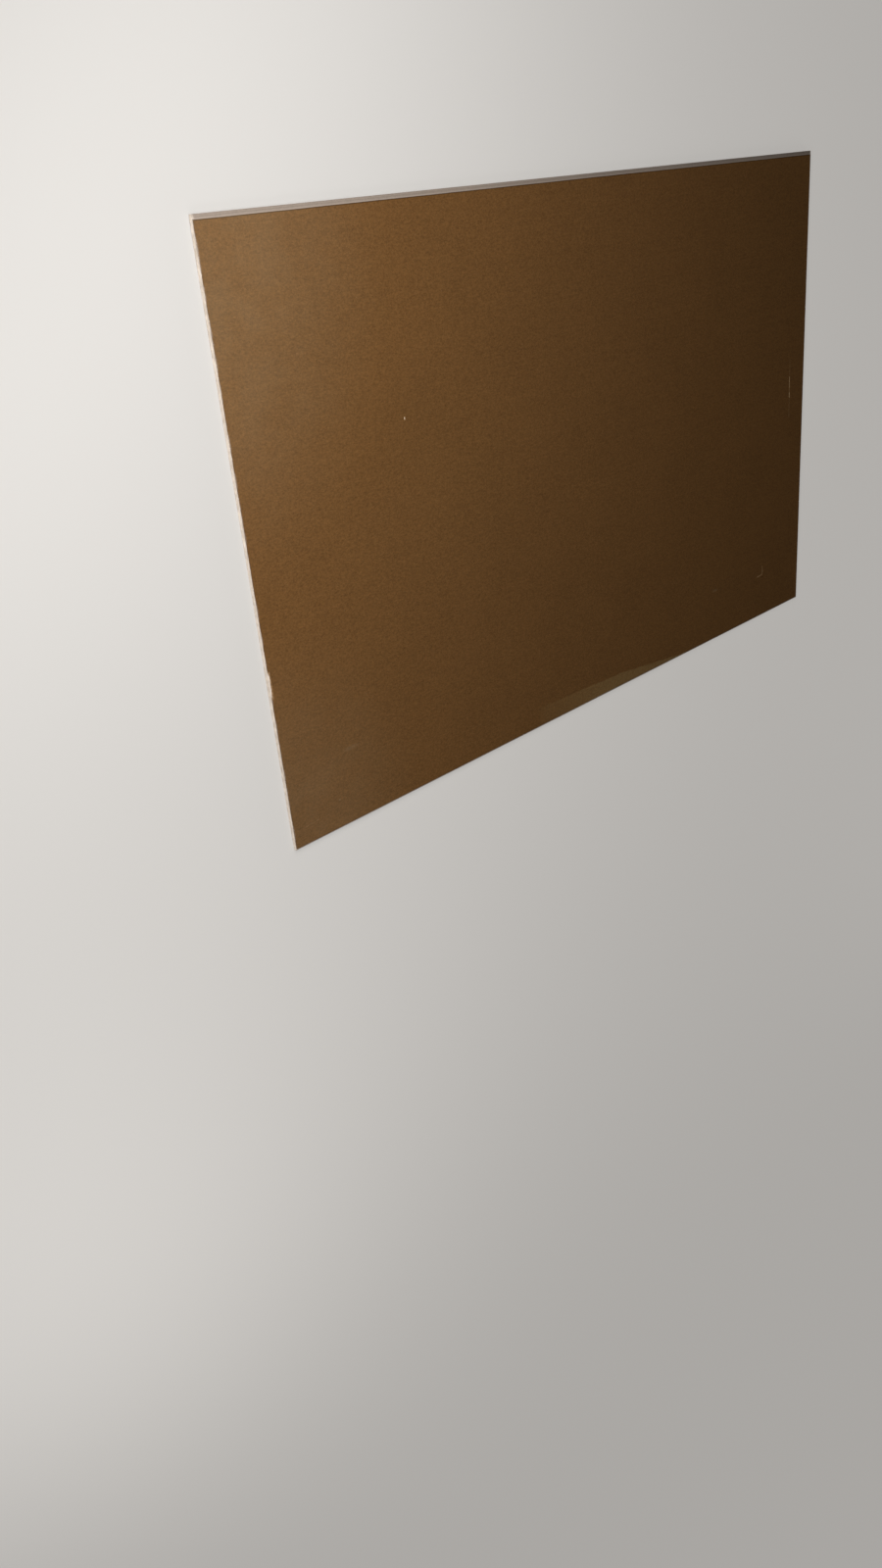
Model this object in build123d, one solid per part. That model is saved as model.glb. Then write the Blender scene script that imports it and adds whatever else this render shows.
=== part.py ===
from build123d import *
import os

# A plasterboard sheet, lying flat with its grey face down and its brown back up.
# X runs along the sheet, Y across it and Z up through it. The origin is the middle of the underside.
# The section across the width is the same from one cut end to the other.

# Sheet, in millimetres
sheet_length = 1920.0
sheet_width = 1200.0
sheet_thickness = 9.5

# Paper liners
paper_thickness = 0.4
flap_width = 25.0       # face paper folded onto the back, from the long edge inwards
bare_flap_far = 9.0     # how much of that flap the back paper leaves bare at the +Y edge
bare_flap_near = 3.0    # and at the -Y edge

# Long edges, where the face sinks a little to make room for joint filler
taper_width = 45.0
taper_depth = 1.2
fold_radius = 1.5       # outside radius of both folds along each long edge

half_width = sheet_width / 2
wrap_top = sheet_thickness - paper_thickness    # upper side of the folded flaps, under the back paper


def wrapped_section():
    """All that lies inside the face paper's outer side, as (y, z) points turned at the four folds."""
    taper_start = half_width - taper_width
    section = make_face(
        Polyline(
            (-taper_start, 0),
            (taper_start, 0),
            (half_width, taper_depth),
            (half_width, wrap_top),
            (-half_width, wrap_top),
            (-half_width, taper_depth),
            close=True,
        )
    )
    folds = [corner for corner in section.vertices() if abs(corner.X) > taper_start + taper_width / 2]
    return fillet(folds, fold_radius)


def core_section():
    """The gypsum: the wrapped section less the paper, and raised between the two folded flaps."""
    inside_paper = offset(wrapped_section(), amount=-paper_thickness)
    raised_strip = Rectangle(sheet_width - 2 * flap_width, paper_thickness)
    return inside_paper + Pos(0, wrap_top - paper_thickness / 2) * raised_strip


def face_paper_section():
    """The grey liner: under the face, round both long edges and onto the back as two flaps."""
    return wrapped_section() - core_section()


def back_paper_section():
    """The brown liner: over the core and over most of each flap."""
    width = sheet_width - bare_flap_far - bare_flap_near
    middle = (bare_flap_near - bare_flap_far) / 2
    return Pos(middle, wrap_top + paper_thickness / 2) * Rectangle(width, paper_thickness)


def full_length(section):
    """Runs a section from one cut end of the sheet to the other."""
    return extrude(Plane.YZ * section, amount=sheet_length / 2, both=True)


nodes = {
    "gypsum_core": full_length(core_section()),
    "face_paper": full_length(face_paper_section()),
    "back_paper": full_length(back_paper_section()),
}

os.makedirs("parts", exist_ok=True)
for name, shape in nodes.items():
    export_step(shape, f"parts/{name}.step")
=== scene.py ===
import math
from collections import namedtuple

import bmesh
import bpy
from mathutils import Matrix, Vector


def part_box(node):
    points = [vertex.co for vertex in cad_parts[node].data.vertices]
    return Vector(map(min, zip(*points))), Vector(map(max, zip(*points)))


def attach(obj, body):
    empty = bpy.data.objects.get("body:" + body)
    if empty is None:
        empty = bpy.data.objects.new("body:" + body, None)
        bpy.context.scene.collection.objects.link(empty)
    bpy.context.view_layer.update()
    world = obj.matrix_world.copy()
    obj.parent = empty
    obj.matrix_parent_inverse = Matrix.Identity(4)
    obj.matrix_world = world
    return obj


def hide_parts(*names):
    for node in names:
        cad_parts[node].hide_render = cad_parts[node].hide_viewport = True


# A plasterboard sheet, lying on its grey face with its brown back up.
# Lengths are in metres. X runs along the sheet, Y across it and Z up through it.

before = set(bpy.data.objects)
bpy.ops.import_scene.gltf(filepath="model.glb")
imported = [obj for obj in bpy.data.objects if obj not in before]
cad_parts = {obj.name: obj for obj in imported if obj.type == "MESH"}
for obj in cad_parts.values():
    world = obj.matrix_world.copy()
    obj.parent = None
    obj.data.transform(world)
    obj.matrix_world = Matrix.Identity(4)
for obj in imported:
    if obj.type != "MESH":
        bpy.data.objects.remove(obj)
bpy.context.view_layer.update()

core_low, core_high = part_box("gypsum_core")
face_low, face_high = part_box("face_paper")
back_low, back_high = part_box("back_paper")

# Sizes of the sheet, as the solids have them
left_end = face_low.x
right_end = face_high.x
length = right_end - left_end
half_width = face_high.y
top = back_high.z
wrap_top = face_high.z              # upper side of the folded flaps
paper = core_low.z - face_low.z     # thickness of either liner
core_top = wrap_top - paper         # under the flaps; between them the core is a paper's thickness higher
flap_width = 0.025                  # face paper folded onto the back
taper_width = 0.045                 # strip along each long edge where the face sinks
taper_depth = 0.0012
fold_radius = 0.0015
core_rounding = 0.0006              # of the core's long corners, which stays inside the folds

# Fineness of the shaped pieces
end_rows = 9                # rows of facets up a cut end of the gypsum
end_columns = 760           # and across it
core_lines = (0.003, 0.006, 0.012, 0.03)    # further lines across the gypsum, this far in from either end
paper_columns = 380         # facets across either paper
paper_lengths = 60          # and along it
paper_lines = (0.0012, 0.005)               # further lines across a paper, this far in from either end
corner_facets = 2           # round a long corner of the core
fold_facets = 5             # round a fold of the face paper
smooth_angle = 40           # degrees; an edge that turns by more stays sharp
just_off = 0.00005          # how near a corner must lie to count as being at a place

# Directions on the sheet
lengthwise = (1, 0, 0)
crosswise = (0, 1, 0)
upwards = (0, 0, 1)

# Damage to the cut ends
chips = [(left_end, 0.507), (left_end, 0.434), (left_end, -0.534), (right_end, -0.31), (right_end, 0.22)]
chip_depth = 0.0014
chip_width = 0.004
chip_heart = 0.001          # half of the width that is knocked in all the way
chip_reach = 2.5 * chip_depth       # how far round it the gypsum gives way
rough_reach = 0.002         # how far in from a cut end its gypsum is rough
fold_start = 0.002          # height from which the face paper belongs to a bound edge
torn_to = -0.262            # the brown paper is torn back from the left end between these two
torn_from = -0.207
torn_depth = 0.0034

# Marks on the brown back, with painted sheen and painted shade among them, at (x, y) places
nick = (-0.538, 0.196)
nick_length = 0.005         # across the sheet
nick_width = 0.003
nick_depth = 0.8 * paper
nick_cuts = (-1, -0.6, -0.2, 0.2, 0.6, 1)   # as parts of its length or width from its middle
Scratch = namedtuple("Scratch", "start end width broken paleness")
scratches = [
    Scratch((0.889, 0.094), (0.891, -0.060), width=0.004, broken=0.8, paleness=0.24),
    Scratch((0.889, 0.048), (0.890, 0.021), width=0.006, broken=0.5, paleness=0.85),
    Scratch((0.890, 0.021), (0.890, 0.006), width=0.005, broken=0.7, paleness=0.50),
    Scratch((0.890, 0.006), (0.891, -0.005), width=0.0065, broken=0.2, paleness=0.85),
    Scratch((0.771, -0.453), (0.774, -0.469), width=0.004, broken=0.5, paleness=0.42),
    Scratch((0.774, -0.469), (0.768, -0.479), width=0.005, broken=0.3, paleness=0.55),
    Scratch((0.768, -0.479), (0.746, -0.480), width=0.005, broken=0.4, paleness=0.50),
    Scratch((-0.935, -0.559), (-0.893, -0.555), width=0.005, broken=0.9, paleness=0.10),
]
dent = (0.773, -0.486)              # painted shade of a dent beside the hooked scratch
dent_width = 0.011
PalePatch = namedtuple("PalePatch", "x y length width paleness")
smudges_and_sheen = [
    PalePatch(-0.785, -0.432, length=0.060, width=0.014, paleness=0.03),
    PalePatch(0.538, -0.461, length=0.034, width=0.012, paleness=0.05),
    PalePatch(-0.832, -0.535, length=0.008, width=0.006, paleness=0.06),
    PalePatch(-0.96, 0.60, length=0.90, width=1.40, paleness=0.04),       # painted sheen, as a pale haze by the far left corner
    PalePatch(-0.96, -0.60, length=0.80, width=1.00, paleness=0.03),       # and by the near one
]
scuff_start = (-0.194, -0.550)      # the scuff along the near edge lies below a line through these three
scuff_bend = (0.113, -0.564)
scuff_end = (0.357, -0.592)


def srgb(red, green, blue):
    """A colour seen on a screen, 0 to 255, as the linear values that a shader takes."""
    steps = (value / 255 for value in (red, green, blue))
    linear = [v / 12.92 if v <= 0.04045 else ((v + 0.055) / 1.055) ** 2.4 for v in steps]
    return (*linear, 1.0)


# Colours
brown_deep = srgb(70, 46, 20)
brown_pale = srgb(117, 81, 43)
brown_hair = srgb(138, 105, 66)
brown_edge = srgb(54, 34, 15)
torn_ply = srgb(160, 130, 98)
torn_fibre = srgb(198, 166, 124)
scuff_pale = srgb(204, 184, 128)
grey_deep = srgb(114, 102, 90)
grey_pale = srgb(153, 139, 127)
# Also paints the shade along the flaps' fold and at the brown paper's edge
grey_dark = srgb(80, 67, 54)
gypsum_white = srgb(226, 213, 199)
gypsum_shade = srgb(203, 189, 174)
gypsum_pit_shade = srgb(146, 133, 116)
# Pale of the smudges, and of the painted sheen by the left corners
dust_and_sheen_pale = srgb(214, 204, 172)
floor_pale = srgb(188, 185, 181)


# Tools for shaping a piece

def near(value, target):
    return abs(value - target) < just_off


def make_active(piece):
    bpy.ops.object.select_all(action="DESELECT")
    piece.select_set(True)
    bpy.context.view_layer.objects.active = piece


def gridded_panel(name, divisions, middle, size, turned=(0, 0, 0)):
    """A flat panel of even facets at its real size, with its place put into its mesh."""
    bpy.ops.object.select_all(action="DESELECT")
    bpy.ops.mesh.primitive_grid_add(
        x_subdivisions=divisions[0],
        y_subdivisions=divisions[1],
        size=1,
        location=middle,
        rotation=turned,
    )
    panel = bpy.context.object
    panel.name = name
    panel.data.name = name
    panel.scale = (*size, 1)
    bpy.ops.object.transform_apply(location=True, rotation=True, scale=True)
    return panel


def open_piece(piece):
    """Opens a piece for shaping, with nothing on it selected."""
    make_active(piece)
    bpy.ops.object.mode_set(mode="EDIT")
    bpy.ops.mesh.select_all(action="DESELECT")


def close_piece():
    bpy.ops.object.mode_set(mode="OBJECT")


def pick_corners(piece, test):
    """Selects the corners whose place passes the test."""
    bpy.ops.mesh.select_mode(type="VERT")
    bpy.ops.mesh.select_all(action="DESELECT")
    shell = bmesh.from_edit_mesh(piece.data)
    for corner in shell.verts:
        if test(corner.co):
            corner.select_set(True)
    shell.select_flush_mode()
    bmesh.update_edit_mesh(piece.data)


def pick_edges(piece, test):
    """Selects the edges that pass a test of their middle and their run."""
    bpy.ops.mesh.select_mode(type="EDGE")
    bpy.ops.mesh.select_all(action="DESELECT")
    shell = bmesh.from_edit_mesh(piece.data)
    for edge in shell.edges:
        start, end = (corner.co for corner in edge.verts)
        edge.select_set(test((start + end) / 2, end - start))
    bmesh.update_edit_mesh(piece.data)


def pick_faces(piece, test):
    """Selects the faces whose middle passes the test."""
    bpy.ops.mesh.select_mode(type="FACE")
    bpy.ops.mesh.select_all(action="DESELECT")
    shell = bmesh.from_edit_mesh(piece.data)
    for face in shell.faces:
        face.select_set(test(face.calc_center_median()))
    bmesh.update_edit_mesh(piece.data)


def runs_lengthwise(run):
    return abs(run.x) > 0.9 * run.length


def cut_lines(places, direction):
    """Scores the open piece right through at each place, square to the direction."""
    for place in places:
        bpy.ops.mesh.select_all(action="SELECT")
        bpy.ops.mesh.bisect(plane_co=[place * part for part in direction], plane_no=direction)
    bpy.ops.mesh.select_all(action="DESELECT")


def in_from_ends(*distances):
    """Places along the sheet at these distances in from either end."""
    return [left_end + far for far in distances] + [right_end - far for far in distances]


def push(move, reach, falloff):
    """Moves what is selected, and carries what lies within reach of it along."""
    bpy.ops.transform.translate(
        value=move,
        use_proportional_edit=True,
        proportional_edit_falloff=falloff,
        proportional_size=reach,
    )


def sink_tapers(piece, edge):
    """Lifts the underside along both long edges, evenly from the taper's start to the edge."""
    for side in (-1, 1):
        pick_corners(piece, lambda place: near(side * place.y, edge))
        push((0, 0, taper_depth), taper_width, "LINEAR")


def roughen(piece, name, test, axis, depth, grain, contrast=1.0, brightness=1.0, middle=0.5):
    """Moves the corners that pass the test along one axis by a cloudy pattern, up to depth."""
    group = piece.vertex_groups.new(name=name)
    group.add([corner.index for corner in piece.data.vertices if test(corner.co)], 1.0, "REPLACE")
    clouds = bpy.data.textures.new(name, "CLOUDS")
    clouds.noise_scale = grain
    clouds.noise_depth = 2
    clouds.contrast = contrast
    clouds.intensity = brightness
    rough = piece.modifiers.new(name, "DISPLACE")
    rough.texture = clouds
    rough.texture_coords = "LOCAL"
    rough.direction = axis
    rough.strength = depth
    rough.mid_level = middle
    rough.vertex_group = name
    make_active(piece)
    bpy.ops.object.modifier_apply(modifier=name)


def give_thickness(piece, even):
    """Turns the outer side of a liner into paper, with its thickness inwards."""
    wall = piece.modifiers.new("paper thickness", "SOLIDIFY")
    wall.thickness = paper
    wall.offset = -1
    wall.use_even_offset = even
    make_active(piece)
    bpy.ops.object.modifier_apply(modifier=wall.name)


def smooth_off(piece):
    """Shades a piece smooth, but for its sharp edges."""
    make_active(piece)
    bpy.ops.object.shade_smooth_by_angle(angle=math.radians(smooth_angle))


# The gypsum core

def cast_gypsum():
    """One cut end, gridded finely and with its tapers, run to the other end and broken at both."""
    height = core_top - core_low.z
    core = gridded_panel(
        "gypsum_slab",
        divisions=(end_rows, end_columns),
        middle=(left_end, 0, core_low.z + height / 2),
        size=(height, 2 * core_high.y),
        turned=(0, math.pi / 2, 0),
    )
    open_piece(core)
    sink_tapers(core, core_high.y)
    bpy.ops.mesh.select_all(action="SELECT")
    bpy.ops.mesh.bisect(plane_co=(0, 0, core_top), plane_no=upwards, clear_outer=True)
    raise_between_flaps(core)
    bpy.ops.mesh.select_all(action="SELECT")
    bpy.ops.mesh.extrude_region_move(TRANSFORM_OT_translate={"value": (length, 0, 0)})
    cut_lines(in_from_ends(*core_lines), lengthwise)
    round_core_corners(core)
    for x, y in chips:
        knock_chip(core, x, y)
    close_piece()
    break_ends(core)
    smooth_off(core)
    return core


def raise_between_flaps(core):
    """Draws the core's top edge up by a paper's thickness where no flap lies on it."""
    strip = half_width - flap_width
    cut_lines((-strip, strip), crosswise)
    pick_edges(core, lambda middle, run: near(middle.z, core_top) and abs(middle.y) < strip)
    bpy.ops.mesh.extrude_region_move(TRANSFORM_OT_translate={"value": (0, 0, paper)})


def round_core_corners(core):
    """Rounds the four long corners of the core."""
    corner_heights = (core_low.z + taper_depth, core_top)
    pick_edges(
        core,
        lambda middle, run: runs_lengthwise(run)
        and near(abs(middle.y), core_high.y)
        and any(near(middle.z, height) for height in corner_heights),
    )
    bpy.ops.mesh.bevel(offset=core_rounding, segments=corner_facets, affect="EDGES")


def knock_chip(piece, x, y):
    """Knocks the top corner of a cut end in at one place."""
    inwards = -math.copysign(chip_depth, x)
    pick_corners(
        piece,
        lambda place: near(place.x, x) and abs(place.y - y) < chip_heart and place.z > core_top,
    )
    push((inwards, 0, 0), chip_reach, "SHARP")


def break_ends(core):
    """The snapped ends: a low rough grain all over, with crumbled patches in it."""
    for name, end, inwards in (("left", left_end, 1), ("right", right_end, -1)):
        def at_end(place):
            return abs(place.x - end) < rough_reach

        depth = inwards * 0.0005
        roughen(core, name + " grain", at_end, "X", depth, grain=0.0035, middle=0.2)
        roughen(
            core, name + " crumble", at_end, "X", depth, grain=0.011,
            contrast=4.0, brightness=0.62, middle=0,
        )


# The papers

def fold_face_paper():
    """The grey liner: flat under the face, turned up both long edges and folded onto the back."""
    liner = gridded_panel(
        "grey_liner",
        divisions=(paper_lengths, paper_columns),
        middle=(0, 0, face_low.z),
        size=(length, 2 * half_width),
    )
    open_piece(liner)
    bpy.ops.mesh.select_all(action="SELECT")
    bpy.ops.mesh.flip_normals()
    cut_lines(in_from_ends(*paper_lines), lengthwise)
    sink_tapers(liner, half_width)
    side_height = wrap_top - face_low.z - taper_depth
    for side in (-1, 1):
        pick_edges(liner, lambda middle, run: near(side * middle.y, half_width) and runs_lengthwise(run))
        bpy.ops.mesh.extrude_region_move(TRANSFORM_OT_translate={"value": (0, 0, side_height)})
        bpy.ops.mesh.extrude_region_move(TRANSFORM_OT_translate={"value": (0, -side * flap_width, 0)})
    pick_edges(liner, lambda middle, run: near(abs(middle.y), half_width) and runs_lengthwise(run))
    bpy.ops.mesh.bevel(offset=fold_radius, segments=fold_facets, affect="EDGES")
    close_piece()
    fray_ends(liner)
    roughen(liner, "bound edges", lambda place: place.z > fold_start, "NORMAL", depth=0.0002, grain=0.05)
    give_thickness(liner, even=True)
    smooth_off(liner)
    return liner


def lay_back_paper():
    """The brown liner: laid over the core and most of each flap, and torn a little at the left end."""
    liner = gridded_panel(
        "brown_liner",
        divisions=(paper_lengths, paper_columns),
        middle=(0, (back_low.y + back_high.y) / 2, top),
        size=(length, back_high.y - back_low.y),
    )
    open_piece(liner)
    cut_lines(in_from_ends(*paper_lines), lengthwise)
    for x, y in chips:
        tear_end(liner, x, chip_outline(y))
    tear_end(liner, left_end, torn_outline())
    press_nick(liner)
    close_piece()
    fray_ends(liner)
    free_edges = (back_low.y, back_high.y)
    roughen(
        liner, "free edges", lambda place: any(near(place.y, edge) for edge in free_edges), "Y",
        depth=0.0014, grain=0.11,
    )
    roughen(liner, "cockle", lambda place: True, "Z", depth=0.0003, grain=0.13)
    give_thickness(liner, even=False)
    smooth_off(liner)
    return liner


def fray_ends(liner):
    """Leaves the knife's cut across a paper's ends slightly uneven."""
    for name, end in (("left cut", left_end), ("right cut", right_end)):
        roughen(liner, name, lambda place: near(place.x, end), "X", depth=0.0005, grain=0.005)


def chip_outline(y):
    """How far the paper is gone over a chip, as (y, depth) points, deepest a little to one side."""
    return [(y - chip_width / 2, 0), (y - chip_width / 6, chip_depth), (y + chip_width / 2, 0)]


def torn_outline():
    """How far the paper is torn back, as (y, depth) points from one end of the tear to the other."""
    span = torn_from - torn_to
    return [
        (torn_to, 0),
        (torn_to + 0.10 * span, 0.5 * torn_depth),
        (torn_to + 0.32 * span, 0.8 * torn_depth),
        (torn_to + 0.50 * span, 0.7 * torn_depth),
        (torn_to + 0.74 * span, torn_depth),
        (torn_to + 0.93 * span, 0.6 * torn_depth),
        (torn_from, 0),
    ]


def tear_end(liner, end, outline):
    """Tears paper away from a cut end, along (y, depth) points in rising order of y."""
    inwards = -math.copysign(1, end)
    past_tear = 0.002       # the cuts run this much further in than the tear
    band = max(depth for y, depth in outline) + past_tear
    facet = (back_high.y - back_low.y) / paper_columns
    low_y = outline[0][0] - facet
    high_y = outline[-1][0] + facet
    for y, depth in outline:
        pick_faces(liner, lambda middle: abs(middle.x - end) < band and low_y < middle.y < high_y)
        bpy.ops.mesh.bisect(plane_co=(end, y, top), plane_no=crosswise)
    for (y, depth), (next_y, next_depth) in zip(outline, outline[1:]):
        def in_stretch(middle):
            return abs(middle.x - end) < band and y < middle.y < next_y

        corner = Vector((end + inwards * depth, y, top))
        inner_side = Vector((inwards * (next_y - y), depth - next_depth, 0)).normalized()
        pick_faces(liner, in_stretch)
        bpy.ops.mesh.bisect(plane_co=corner, plane_no=inner_side)
        pick_faces(liner, lambda middle: in_stretch(middle) and (middle - corner).dot(inner_side) < 0)
        bpy.ops.mesh.delete(type="FACE")


def press_nick(liner):
    """A small gouge in the paper, cut finely at its place and pressed in."""
    x, y = nick
    facet = length / paper_lengths

    def close_by(middle, reach):
        return abs(middle.x - x) < reach and abs(middle.y - y) < 2 * nick_length

    for part in nick_cuts:
        pick_faces(liner, lambda middle: close_by(middle, facet))
        bpy.ops.mesh.bisect(plane_co=(x + part * nick_width, 0, top), plane_no=lengthwise)
        pick_faces(liner, lambda middle: close_by(middle, nick_width))
        bpy.ops.mesh.bisect(plane_co=(0, y + part * nick_length, top), plane_no=crosswise)
    pick_corners(
        liner,
        lambda place: math.hypot((place.x - x) / nick_width, (place.y - y) / nick_length) < 0.5,
    )
    bpy.ops.transform.translate(value=(0, 0, -nick_depth))


# Tools for mixing a finish

class Bench:
    """A tree of shader nodes, and the few tools used to fill it."""

    def __init__(self, tree):
        self.tree = tree

    def add(self, kind, **settings):
        node = self.tree.nodes.new(kind)
        for setting, value in settings.items():
            setattr(node, setting, value)
        return node

    def feed(self, socket, value):
        """Links a socket to another node's output, or sets it to a plain value."""
        if isinstance(value, bpy.types.NodeSocket):
            self.tree.links.new(value, socket)
        else:
            socket.default_value = value

    def reckon(self, kind, *values, clamp=False):
        node = self.add("ShaderNodeMath", operation=kind, use_clamp=clamp)
        for socket, value in zip(node.inputs, values):
            self.feed(socket, value)
        return node.outputs[0]

    def plus(self, first, second):
        return self.reckon("ADD", first, second)

    def less(self, first, second):
        return self.reckon("SUBTRACT", first, second)

    def times(self, first, second):
        return self.reckon("MULTIPLY", first, second)

    def over(self, first, second):
        return self.reckon("DIVIDE", first, second)

    def least(self, first, second):
        return self.reckon("MINIMUM", first, second)

    def most(self, first, second):
        return self.reckon("MAXIMUM", first, second)

    def off(self, value, middle):
        """How far a value is from a middle one, either way."""
        return self.reckon("ABSOLUTE", self.less(value, middle))

    def swing(self, value, amount):
        """A value that goes to both sides of one half, as an addition to a tone."""
        return self.times(self.less(value, 0.5), amount)

    def rise(self, value, start, end, low=0.0, high=1.0):
        """Goes softly from low to high as the value goes from start to end."""
        node = self.add("ShaderNodeMapRange", interpolation_type="SMOOTHSTEP")
        for socket, setting in zip(node.inputs, (value, start, end, low, high)):
            self.feed(socket, setting)
        return node.outputs["Result"]

    def reckon_place(self, kind, *values):
        node = self.add("ShaderNodeVectorMath", operation=kind)
        for socket, value in zip(node.inputs, values):
            self.feed(socket, value)
        single = kind in ("DOT_PRODUCT", "LENGTH", "DISTANCE")
        return node.outputs["Value" if single else "Vector"]

    def stretch(self, place, amount):
        node = self.add("ShaderNodeVectorMath", operation="SCALE")
        self.feed(node.inputs["Vector"], place)
        self.feed(node.inputs["Scale"], amount)
        return node.outputs["Vector"]

    def split(self, place):
        node = self.add("ShaderNodeSeparateXYZ")
        self.feed(node.inputs[0], place)
        return node.outputs["X"], node.outputs["Y"], node.outputs["Z"]

    def join(self, x, y, z):
        node = self.add("ShaderNodeCombineXYZ")
        for socket, value in zip(node.inputs, (x, y, z)):
            self.feed(socket, value)
        return node.outputs[0]

    def noise(self, place, fineness, detail=2.0, roughness=0.5):
        node = self.add("ShaderNodeTexNoise")
        self.feed(node.inputs["Vector"], place)
        self.feed(node.inputs["Scale"], fineness)
        self.feed(node.inputs["Detail"], detail)
        self.feed(node.inputs["Roughness"], roughness)
        return node.outputs["Fac"]

    def warp(self, place, fineness):
        """A wandering shift, for taking the evenness out of a pattern."""
        node = self.add("ShaderNodeTexNoise")
        self.feed(node.inputs["Vector"], place)
        self.feed(node.inputs["Scale"], fineness)
        return self.reckon_place("SUBTRACT", node.outputs["Color"], (0.5, 0.5, 0.5))

    def stain(self, under, over, share):
        """Lays one colour over another, by a share from 0 to 1."""
        node = self.add("ShaderNodeMix", data_type="RGBA")
        factor, first, second = (node.inputs[index] for index in (0, 6, 7))
        self.feed(factor, share)
        self.feed(first, under)
        self.feed(second, over)
        return node.outputs[2]

    def use(self, effect, **settings):
        """Puts an effect in. An underscore in a setting's name stands for a space."""
        node = self.add("ShaderNodeGroup", node_tree=effect)
        for name, value in settings.items():
            self.feed(node.inputs[name.replace("_", " ")], value)
        return node.outputs


def new_effect(name, inputs, outputs):
    """An empty effect with named sockets: its bench, what comes in and what goes out."""
    tree = bpy.data.node_groups.new(name, "ShaderNodeTree")
    for socket, start_value in inputs.items():
        kind = "NodeSocketVector" if isinstance(start_value, tuple) else "NodeSocketFloat"
        made = tree.interface.new_socket(socket, in_out="INPUT", socket_type=kind)
        made.default_value = start_value
    for socket in outputs:
        tree.interface.new_socket(socket, in_out="OUTPUT", socket_type="NodeSocketFloat")
    bench = Bench(tree)
    return bench, bench.add("NodeGroupInput").outputs, bench.add("NodeGroupOutput").inputs


# Effects that the finishes share

def paper_felt():
    """Pressed pulp: a mottled tone round one half, a mask of single hairs, and a height."""
    bench, given, made = new_effect(
        "paper felt",
        {"Place": (0.0, 0.0, 0.0), "Tuft": 0.003, "Hair": 0.001, "Drawn out": 2.0},
        ("Tone", "Hairs", "Height"),
    )
    hair_turns = (4, 38, -29)       # degrees from the sheet's length, one for each layer of hairs
    squeezed = 0.22                 # the pattern's scale along a hair, against 1 across it
    x, y, z = bench.split(given["Place"])
    drawn = bench.join(bench.over(x, given["Drawn out"]), y, z)
    tufts = bench.noise(drawn, bench.over(1.0, given["Tuft"]), detail=3.0, roughness=0.65)
    fineness = bench.over(1.0, given["Hair"])
    breaks = bench.split(bench.warp(given["Place"], bench.times(fineness, 0.45)))
    hairs = None
    for turn, gap in zip(hair_turns, breaks):
        turned = bench.add("ShaderNodeMapping")
        bench.feed(turned.inputs["Vector"], given["Place"])
        turned.inputs["Rotation"].default_value = (0, 0, math.radians(turn))
        long_x, y, z = bench.split(turned.outputs["Vector"])
        field = bench.noise(bench.join(bench.times(long_x, squeezed), y, z), fineness, detail=1.0)
        layer = bench.times(bench.rise(bench.off(field, 0.5), 0.04, 0.0), bench.rise(gap, 0.0, 0.06))
        hairs = layer if hairs is None else bench.most(hairs, layer)
    bench.feed(made["Tone"], tufts)
    bench.feed(made["Hairs"], hairs)
    bench.feed(made["Height"], bench.plus(bench.times(tufts, 0.7), bench.times(hairs, 0.3)))
    return bench.tree


def clouding():
    """Broad clouds and fine streaks along the web, as a tone round one half."""
    bench, given, made = new_effect(
        "clouding", {"Place": (0.0, 0.0, 0.0), "Cloud": 0.15, "Streak": 0.006, "Streakiness": 0.3}, ("Tone",)
    )
    squeezed = 0.01                 # the streaks' scale along the sheet, against 1 across it
    x, y, z = bench.split(given["Place"])
    clouds = bench.noise(given["Place"], bench.over(1.0, given["Cloud"]), detail=3.0)
    drawn = bench.join(bench.times(x, squeezed), y, z)
    streaks = bench.noise(drawn, bench.over(1.0, given["Streak"]), detail=2.0)
    bench.feed(made["Tone"], bench.plus(clouds, bench.swing(streaks, given["Streakiness"])))
    return bench.tree


def flecks():
    """Scattered small spots, as a mask: recycled scraps in the papers, air holes in the gypsum."""
    bench, given, made = new_effect(
        "flecks", {"Place": (0.0, 0.0, 0.0), "Spacing": 0.01, "Size": 0.1, "Share": 0.3}, ("Mask",)
    )
    cells = bench.add("ShaderNodeTexVoronoi")
    bench.feed(cells.inputs["Vector"], given["Place"])
    bench.feed(cells.inputs["Scale"], bench.over(1.0, given["Spacing"]))
    dot = bench.rise(cells.outputs["Distance"], given["Size"], 0.0)
    lot = bench.split(cells.outputs["Color"])[0]
    bench.feed(made["Mask"], bench.times(dot, bench.reckon("LESS_THAN", lot, given["Share"])))
    return bench.tree


def plaster_dust():
    """Gypsum dust caught in a paper beside the cut ends, as a mask that thins out inwards."""
    bench, given, made = new_effect(
        "plaster dust",
        {"Place": (0.0, 0.0, 0.0), "From end": 0.0, "Reach": 0.01, "Grain": 0.002},
        ("Mask",),
    )
    patches = bench.noise(given["Place"], 30.0, detail=2.0)
    reach = bench.times(given["Reach"], bench.rise(patches, 0.35, 0.7, low=0.2, high=1.4))
    thick = bench.rise(bench.over(given["From end"], reach), 0.0, 1.0, low=1.0, high=0.0)
    grains = bench.noise(given["Place"], bench.over(1.0, given["Grain"]), detail=3.0, roughness=0.75)
    caught = bench.rise(bench.plus(grains, bench.times(thick, 0.22)), 0.58, 0.80)
    bench.feed(made["Mask"], bench.times(caught, thick))
    return bench.tree


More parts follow.
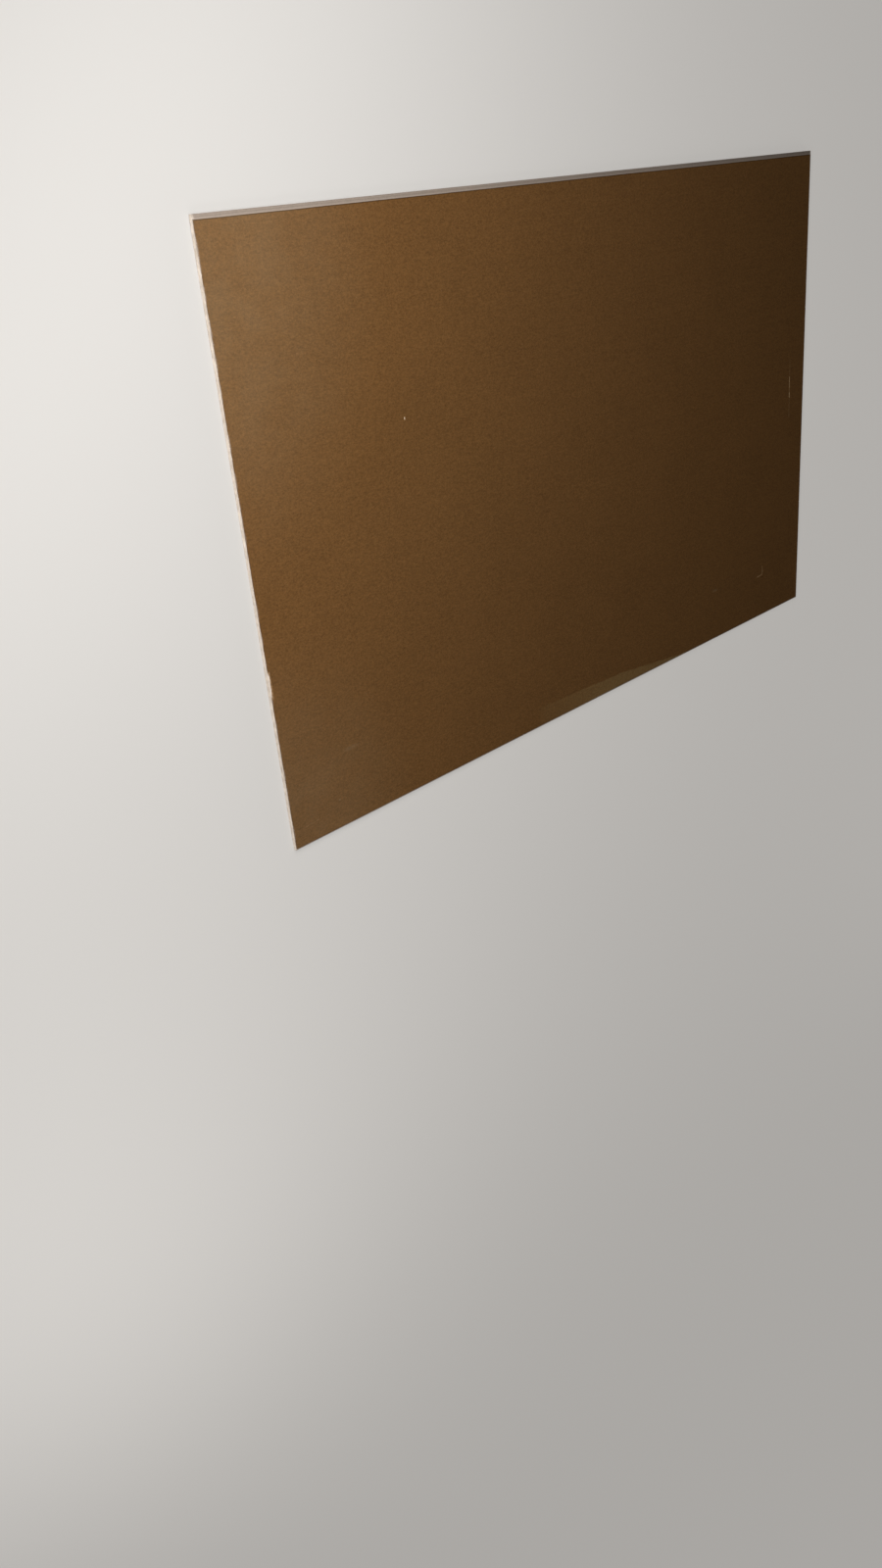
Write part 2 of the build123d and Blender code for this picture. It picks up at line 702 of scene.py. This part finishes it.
def scratching():
    """A straight scratch between two points of the sheet, broken up along its way, as a mask."""
    bench, given, made = new_effect(
        "scratch",
        {
            "Place": (0.0, 0.0, 0.0), "Start": (0.0, 0.0, 0.0), "End": (1.0, 0.0, 0.0),
            "Width": 0.002, "Broken": 0.5,
        },
        ("Mask",),
    )
    frays = 2.5                     # bumps in a scratch's sides, to its width
    breaks = 0.7                    # and places where it may break off
    flat = bench.reckon_place("MULTIPLY", given["Place"], (1.0, 1.0, 0.0))
    out = bench.reckon_place("SUBTRACT", flat, given["Start"])
    way = bench.reckon_place("SUBTRACT", given["End"], given["Start"])
    run = bench.reckon(
        "DIVIDE",
        bench.reckon_place("DOT_PRODUCT", out, way),
        bench.reckon_place("DOT_PRODUCT", way, way),
        clamp=True,
    )
    off = bench.over(bench.reckon_place("DISTANCE", out, bench.stretch(way, run)), given["Width"])
    torn = bench.noise(given["Place"], bench.over(frays, given["Width"]), detail=4.0, roughness=0.7)
    line = bench.rise(bench.plus(off, bench.swing(torn, 1.1)), 0.05, 0.38, low=1.0, high=0.0)
    beads = bench.noise(given["Place"], bench.over(breaks, given["Width"]), detail=3.0, roughness=0.6)
    gaps = bench.times(bench.rise(beads, 0.58, 0.42), given["Broken"])
    bench.feed(made["Mask"], bench.times(line, bench.less(1.0, gaps)))
    return bench.tree


felt_effect = paper_felt()
cloud_effect = clouding()
fleck_effect = flecks()
dust_effect = plaster_dust()
scratch_effect = scratching()


# Finishes

def new_finish(name):
    """An empty finish: its material, bench, shader and the place on the sheet."""
    finish = bpy.data.materials.new(name)
    finish.use_nodes = True
    bench = Bench(finish.node_tree)
    shader = finish.node_tree.nodes["Principled BSDF"]
    return finish, bench, shader, bench.add("ShaderNodeTexCoord").outputs["Object"]


def emboss(bench, shader, height, distance):
    """Gives a finish a fine relief."""
    relief_strength = 0.8
    bump = bench.add("ShaderNodeBump")
    bench.feed(bump.inputs["Height"], height)
    bump.inputs["Distance"].default_value = distance
    bump.inputs["Strength"].default_value = relief_strength
    bench.feed(shader.inputs["Normal"], bump.outputs["Normal"])


def inside_of(bench, value, low_edge, high_edge):
    """How far a point lies in from the nearer of two edges."""
    return bench.least(bench.less(value, low_edge), bench.less(high_edge, value))


def spot(bench, place, x, y, length_x, length_y):
    """A soft oval on the sheet, 1 at its middle and 0 at its rim."""
    out = bench.reckon_place("SUBTRACT", place, (x, y, 0.0))
    drawn = bench.reckon_place("MULTIPLY", out, (2 / length_x, 2 / length_y, 0.0))
    return bench.rise(bench.reckon_place("LENGTH", drawn), 1.0, 0.2)


def scratch_mask(bench, place, mark):
    """One of the listed scratches."""
    return bench.use(
        scratch_effect, Place=place, Start=(*mark.start, 0.0), End=(*mark.end, 0.0),
        Width=mark.width, Broken=mark.broken,
    )["Mask"]


def lie_below(bench, x, y, start, end):
    """How far a point lies on the near side of the line through two points of the sheet."""
    slope = (end[1] - start[1]) / (end[0] - start[0])
    line = bench.plus(bench.times(x, slope), start[1] - slope * start[0])
    return bench.less(line, y)


def scuff_mask(bench, place, x, y):
    """The pale smear along the near edge, crisp along its upper side and thinning to the left."""
    unevenness = bench.swing(bench.noise(place, 60.0), 0.006)
    rough_y = bench.plus(y, unevenness)
    below = bench.least(
        lie_below(bench, x, rough_y, scuff_start, scuff_bend),
        lie_below(bench, x, rough_y, scuff_bend, scuff_end),
    )
    body = bench.rise(below, -0.001, 0.002)
    thin_start = bench.rise(x, scuff_start[0], scuff_bend[0], low=0.3)
    begun = bench.rise(x, scuff_start[0] - 0.02, scuff_start[0] + 0.03)
    patchy = bench.rise(bench.noise(place, 180.0, detail=3.0, roughness=0.6), 0.2, 0.75, low=0.45)
    return bench.times(bench.times(body, thin_start), bench.times(begun, patchy))


def torn_ply_mask(bench, place, x, y):
    """The pale inner ply that shows where the brown paper is torn back, as a ragged fringe."""
    middle = (torn_from + torn_to) / 2
    half_span = (torn_from - torn_to) / 2
    across = bench.rise(bench.off(y, middle), 1.15 * half_span, 0.9 * half_span)
    along = bench.rise(bench.less(x, left_end), torn_depth + 0.0028, torn_depth + 0.0008)
    ragged = bench.rise(bench.noise(place, 700.0, detail=3.0, roughness=0.7), 0.38, 0.55)
    return bench.times(bench.times(across, along), ragged)


def brown_ground(bench, place, felt):
    """Brown pulp, with pale hairs in it and both pale and dark scraps."""
    cloud = bench.use(cloud_effect, Place=place, Cloud=0.2, Streak=0.005, Streakiness=0.9)
    tone = bench.plus(bench.swing(felt["Tone"], 1.3), bench.swing(cloud["Tone"], 0.18))
    colour = bench.stain(brown_deep, brown_pale, bench.reckon("ADD", tone, 0.5, clamp=True))
    colour = bench.stain(colour, brown_hair, bench.times(felt["Hairs"], 0.32))
    pale_scraps = bench.use(fleck_effect, Place=place, Spacing=0.014, Size=0.09, Share=0.22)["Mask"]
    dark_scraps = bench.use(fleck_effect, Place=place, Spacing=0.021, Size=0.08, Share=0.22)["Mask"]
    colour = bench.stain(colour, torn_ply, bench.times(pale_scraps, 0.3))
    return bench.stain(colour, brown_edge, bench.times(dark_scraps, 0.5))


def darken_rims(bench, y, from_end, colour):
    """A dark line along each rim of the brown paper, strongest along the far edge."""
    from_far_edge = bench.less(back_high.y, y)
    from_near_edge = bench.less(y, back_low.y)
    colour = bench.stain(colour, brown_edge, bench.rise(from_far_edge, 0.0022, 0.0004, high=0.75))
    colour = bench.stain(colour, brown_edge, bench.rise(from_near_edge, 0.0014, 0.0003, high=0.4))
    return bench.stain(colour, brown_edge, bench.rise(from_end, 0.003, 0.0005, high=0.35))


def wear_and_painted_light_brown(bench, place, x, y, colour):
    """The scuff, smudges, painted sheen by the left corners, painted shade of a dent, and scratches. Gives
    the colour, and a mask of the scratches' grooves.
    """
    colour = bench.stain(colour, scuff_pale, bench.times(scuff_mask(bench, place, x, y), 0.12))
    clouds = bench.noise(place, 14.0, detail=4.0, roughness=0.6)
    patches = bench.rise(clouds, 0.3, 0.7, low=0.8, high=1.2)
    # Smudges, and the painted sheen by the left corners.
    for mark in smudges_and_sheen:
        pale_patch = bench.times(spot(bench, place, mark.x, mark.y, mark.length, mark.width), patches)
        colour = bench.stain(colour, dust_and_sheen_pale, bench.times(pale_patch, mark.paleness))
    # Painted shade of the dent.
    dent_shade = spot(bench, place, *dent, dent_width, 0.6 * dent_width)
    colour = bench.stain(colour, brown_edge, bench.times(dent_shade, 0.6))
    grooves = 0.0
    for mark in scratches:
        pale_line = bench.times(scratch_mask(bench, place, mark), mark.paleness)
        colour = bench.stain(colour, torn_fibre, pale_line)
        grooves = bench.most(grooves, pale_line)
    return colour, grooves


def bare_the_inside(bench, place, x, y, colour):
    """The pale inside of the paper where it is torn back, and torn fibres round bare gypsum in the gouge."""
    colour = bench.stain(colour, torn_ply, torn_ply_mask(bench, place, x, y))
    ragged = bench.swing(bench.noise(place, 900.0, detail=3.0, roughness=0.7), 1.2)
    gouge = bench.plus(spot(bench, place, *nick, 1.4 * nick_width, 1.7 * nick_length), ragged)
    colour = bench.stain(colour, torn_fibre, bench.rise(gouge, 0.3, 0.45))
    return bench.stain(colour, gypsum_white, bench.rise(gouge, 0.55, 0.7, high=0.6))


def brown_finish():
    finish, bench, shader, place = new_finish("brown back paper")
    x, y, z = bench.split(place)
    from_end = inside_of(bench, x, left_end, right_end)
    felt = bench.use(felt_effect, Place=place, Tuft=0.0036, Hair=0.0008, Drawn_out=1.5)
    colour = brown_ground(bench, place, felt)
    colour = darken_rims(bench, y, from_end, colour)
    colour, grooves = wear_and_painted_light_brown(bench, place, x, y, colour)
    dust = bench.use(dust_effect, Place=place, From_end=from_end, Reach=0.0045, Grain=0.0009)["Mask"]
    colour = bench.stain(colour, gypsum_white, bench.times(dust, 0.4))
    colour = bare_the_inside(bench, place, x, y, colour)

    bench.feed(shader.inputs["Base Color"], colour)
    bench.feed(shader.inputs["Roughness"], bench.rise(felt["Tone"], 0.3, 0.7, low=0.78, high=0.9))
    shader.inputs["Specular IOR Level"].default_value = 0.1
    emboss(bench, shader, bench.less(felt["Height"], bench.times(grooves, 4.0)), 0.00005)
    return finish


def mark_flaps(bench, place, y, z, colour):
    """What shows of the flaps: paler beside the brown paper, with painted shade along the fold and a dark
    line of glue and painted shade at the brown paper's edge.
    """
    on_back = bench.rise(z, wrap_top - 0.0006, wrap_top - 0.0001)
    beyond_brown = bench.most(bench.less(y, back_high.y), bench.less(back_low.y, y))
    paler_strip = bench.times(bench.rise(beyond_brown, 0.0028, 0.0020), on_back)
    colour = bench.stain(colour, grey_pale, bench.times(paler_strip, 0.55))
    wandering = bench.swing(bench.noise(place, 25.0, detail=3.0), 0.0016)
    # Painted shade along the fold.
    fold_shade = bench.rise(bench.off(bench.plus(beyond_brown, wandering), 0.0048), 0.0004, 0.0001)
    colour = bench.stain(colour, grey_dark, bench.times(bench.times(fold_shade, on_back), 0.35))
    # A dark line of glue, and painted shade of the brown paper's step, at its edge.
    glue_and_step_shade = bench.times(bench.rise(beyond_brown, 0.0007, 0.0003), on_back)
    return bench.stain(colour, grey_dark, bench.times(glue_and_step_shade, 0.55))


def grey_finish():
    finish, bench, shader, place = new_finish("grey face paper")
    x, y, z = bench.split(place)
    felt = bench.use(felt_effect, Place=place, Tuft=0.0032, Hair=0.0008, Drawn_out=2.2)
    cloud = bench.use(cloud_effect, Place=place, Cloud=0.25, Streak=0.0022, Streakiness=0.7)
    tone = bench.plus(bench.swing(felt["Tone"], 0.8), bench.swing(cloud["Tone"], 0.4))
    colour = bench.stain(grey_deep, grey_pale, bench.reckon("ADD", tone, 0.5, clamp=True))
    colour = bench.stain(colour, grey_pale, bench.times(felt["Hairs"], 0.4))
    scraps = bench.use(fleck_effect, Place=place, Spacing=0.009, Size=0.06, Share=0.3)["Mask"]
    colour = bench.stain(colour, grey_dark, bench.times(scraps, 0.45))
    colour = mark_flaps(bench, place, y, z, colour)
    from_end = inside_of(bench, x, left_end, right_end)
    dust = bench.use(dust_effect, Place=place, From_end=from_end, Reach=0.01, Grain=0.0011)["Mask"]
    colour = bench.stain(colour, gypsum_white, bench.times(dust, 0.5))

    bench.feed(shader.inputs["Base Color"], colour)
    bench.feed(shader.inputs["Roughness"], bench.rise(felt["Tone"], 0.3, 0.7, low=0.72, high=0.86))
    shader.inputs["Specular IOR Level"].default_value = 0.25
    emboss(bench, shader, felt["Height"], 0.00004)
    return finish


def gypsum_finish():
    finish, bench, shader, place = new_finish("cast gypsum")
    cloud = bench.use(cloud_effect, Place=place, Cloud=0.012, Streak=0.002, Streakiness=0.4)
    rough_place = bench.reckon_place("ADD", place, bench.stretch(bench.warp(place, 900.0), 0.0006))
    large_holes = bench.use(fleck_effect, Place=rough_place, Spacing=0.0023, Size=0.26, Share=0.3)["Mask"]
    small_holes = bench.use(fleck_effect, Place=rough_place, Spacing=0.0009, Size=0.34, Share=0.4)["Mask"]
    holes = bench.most(large_holes, bench.times(small_holes, 0.6))
    grain = bench.noise(place, 1900.0, detail=4.0, roughness=0.75)
    tone = bench.plus(cloud["Tone"], bench.swing(grain, 0.7))
    colour = bench.stain(gypsum_shade, gypsum_white, bench.rise(tone, 0.25, 0.7))
    # The air holes are darkened by painted shade, and sunk by the relief.
    colour = bench.stain(colour, gypsum_pit_shade, bench.times(holes, 0.45))
    bench.feed(shader.inputs["Base Color"], colour)
    shader.inputs["Roughness"].default_value = 0.95
    shader.inputs["Specular IOR Level"].default_value = 0.1
    emboss(bench, shader, bench.less(bench.times(grain, 2.0), bench.times(holes, 2.0)), 0.00015)
    return finish


# Studio

room_light = 0.06           # strength of the soft light from all round
even_part = 0.5             # share of the floor that the camera sees evenly, whatever light falls there
even_level = 1.5            # brightness of that share, where 1 gives the floor's colour as it is written
far_level = even_part * even_level + (1 - even_part) * room_light   # its brightness far from the lamps
floor_side = 40

# The camera stands to the sheet as the photograph's did
camera_place = (-2.2198, 0.5957, 1.8863)
camera_turn = (-20.599, -44.128, -7.484)    # degrees
focal_pixels = 1250.4
photo_height = 1600         # pixels, along the longer side of the sensor
sensor_width = 36           # millimetres, along that same side


def blend_shaders(bench, share, first, second, surface):
    """Feeds a surface with two shaders, the second by a share from 0 to 1."""
    both = bench.add("ShaderNodeMixShader")
    for socket, value in zip(both.inputs, (share, first, second)):
        bench.feed(socket, value)
    bench.feed(surface, both.outputs["Shader"])


def lay_floor():
    """A pale floor. The camera sees part of its colour evenly, and part as the lamps and shadows leave it."""
    floor = gridded_panel("studio_floor", divisions=(1, 1), middle=(0, 0, 0), size=(floor_side, floor_side))
    paint = bpy.data.materials.new("pale floor")
    paint.use_nodes = True
    bench = Bench(paint.node_tree)
    lit = paint.node_tree.nodes["Principled BSDF"]
    lit.inputs["Base Color"].default_value = floor_pale
    lit.inputs["Roughness"].default_value = 0.9
    lit.inputs["Specular IOR Level"].default_value = 0.1
    even = bench.add("ShaderNodeEmission")
    even.inputs["Color"].default_value = floor_pale
    even.inputs["Strength"].default_value = even_level
    seen = bench.add("ShaderNodeLightPath").outputs["Is Camera Ray"]
    surface = paint.node_tree.nodes["Material Output"].inputs["Surface"]
    share = bench.times(seen, even_part)
    blend_shaders(bench, share, lit.outputs["BSDF"], even.outputs["Emission"], surface)
    floor.data.materials.append(paint)


def hang_lamp(name, place, aim, width, height, power, cone=180, glare=True):
    """A soft lamp, aimed at a point, with its width level. Its cone, in degrees, is what it spreads over."""
    bpy.ops.object.light_add(type="AREA", location=place)
    lamp = bpy.context.object
    lamp.name = name
    lamp.rotation_euler = (Vector(aim) - Vector(place)).to_track_quat("-Z", "Y").to_euler()
    lamp.data.shape = "RECTANGLE"
    lamp.data.size = width
    lamp.data.size_y = height
    lamp.data.energy = power
    lamp.data.spread = math.radians(cone)
    lamp.visible_camera = False
    lamp.visible_glossy = glare


def fill_room():
    """Soft light from all round, with a backdrop as pale as the floor is far from the lamps."""
    room = bpy.data.worlds.new("soft room light")
    room.use_nodes = True
    bench = Bench(room.node_tree)
    light = room.node_tree.nodes["Background"]
    light.inputs["Color"].default_value = (1, 1, 1, 1)
    light.inputs["Strength"].default_value = room_light
    backdrop = bench.add("ShaderNodeBackground")
    backdrop.inputs["Color"].default_value = floor_pale
    backdrop.inputs["Strength"].default_value = far_level
    seen = bench.add("ShaderNodeLightPath").outputs["Is Camera Ray"]
    surface = room.node_tree.nodes["World Output"].inputs["Surface"]
    blend_shaders(bench, seen, light.outputs["Background"], backdrop.outputs["Background"], surface)
    bpy.context.scene.world = room


def place_camera():
    """The photograph's view of the sheet, which was turned together with the sheet as that was laid down."""
    turned = [math.radians(angle) for angle in camera_turn]
    bpy.ops.object.camera_add(location=camera_place, rotation=turned)
    camera = bpy.context.object
    camera.data.sensor_width = sensor_width
    camera.data.lens = sensor_width * focal_pixels / photo_height
    bpy.context.scene.camera = camera


def put_in_place(piece, finish, node):
    """Dresses a piece, and lets it stand for its node of the frame."""
    piece.data.materials.append(finish)
    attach(piece, "root")
    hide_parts(node)


place_camera()
lay_floor()
hang_lamp("side lamp", place=(-1.33, 0.8, 1.0), aim=(-0.5, 0, 0), width=1.9, height=0.6, power=31)
hang_lamp("front lamp", place=(-1.9, -1.35, 1.05), aim=(-0.9, -0.4, 0), width=1.0, height=0.4, power=14)
hang_lamp(
    "end lamp", place=(4.2, -2.4, 0.7), aim=(0.96, -0.1, 0.1), width=2.4, height=0.8, power=6,
    cone=50, glare=False,
)
fill_room()
bpy.context.scene.view_settings.view_transform = "Standard"

put_in_place(cast_gypsum(), gypsum_finish(), "gypsum_core")
put_in_place(fold_face_paper(), grey_finish(), "face_paper")
put_in_place(lay_back_paper(), brown_finish(), "back_paper")
